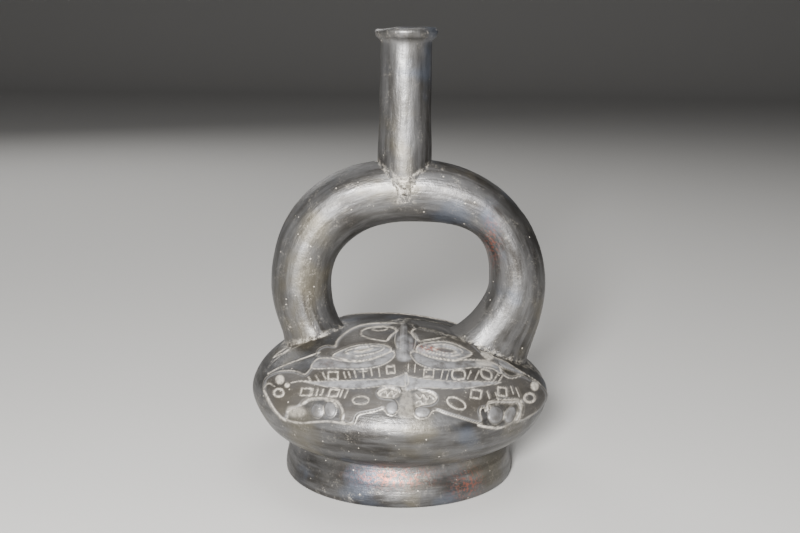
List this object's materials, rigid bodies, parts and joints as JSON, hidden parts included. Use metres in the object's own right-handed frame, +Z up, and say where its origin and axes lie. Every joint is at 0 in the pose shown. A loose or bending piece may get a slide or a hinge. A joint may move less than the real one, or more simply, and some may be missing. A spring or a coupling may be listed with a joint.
{
  "type": "stirrup spout vessel",
  "caption": "Blackware stirrup spout bottle with a lentil-shaped body, carved mask relief, low round foot and arched tube handle.",
  "frame": {"origin": "centre of the underside of the foot, on the surface that the bottle stands on", "axes": "+Z up through the body, arch in the XZ plane, carved mask towards -Y"},
  "size_m": [0.16, 0.16, 0.235],
  "materials": {
    "burnished_blackware": "burnished grey-black fired clay, with pale dust in the carved lines and worn, scuffed areas"
  },
  "bodies": {
    "root": {"vessel": "burnished_blackware"}
  },
  "joints": []
}
